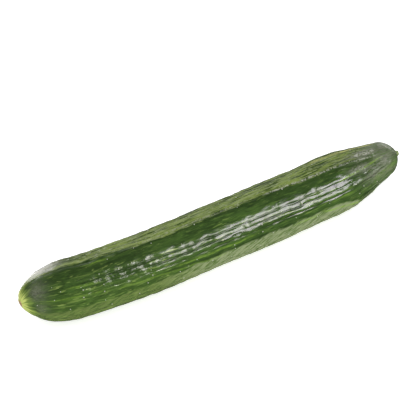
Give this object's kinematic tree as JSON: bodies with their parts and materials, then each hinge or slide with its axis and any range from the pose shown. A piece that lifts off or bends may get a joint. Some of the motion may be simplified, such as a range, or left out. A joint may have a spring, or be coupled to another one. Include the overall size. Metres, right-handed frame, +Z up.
{
  "type": "cucumber",
  "caption": "Long ribbed greenhouse cucumber, gently bowed, with a rounded blossom end, a tapering neck and a short cut stem stub, lying on its side.",
  "frame": {"origin": "on the surface that the cucumber lies on, under the middle of its bounding box", "axes": "+X along the cucumber from its blossom end to its stem end, +Z up as it lies, and the bow bulges towards -Y"},
  "size_m": [0.3174, 0.0532, 0.0467],
  "materials": {
    "skin": "semi-gloss waxy skin, dark green with paler broken streaks",
    "stem_green": "matt pale green cut stem"
  },
  "bodies": {
    "root": {"fruit": "skin", "stem": "stem_green"}
  },
  "joints": []
}
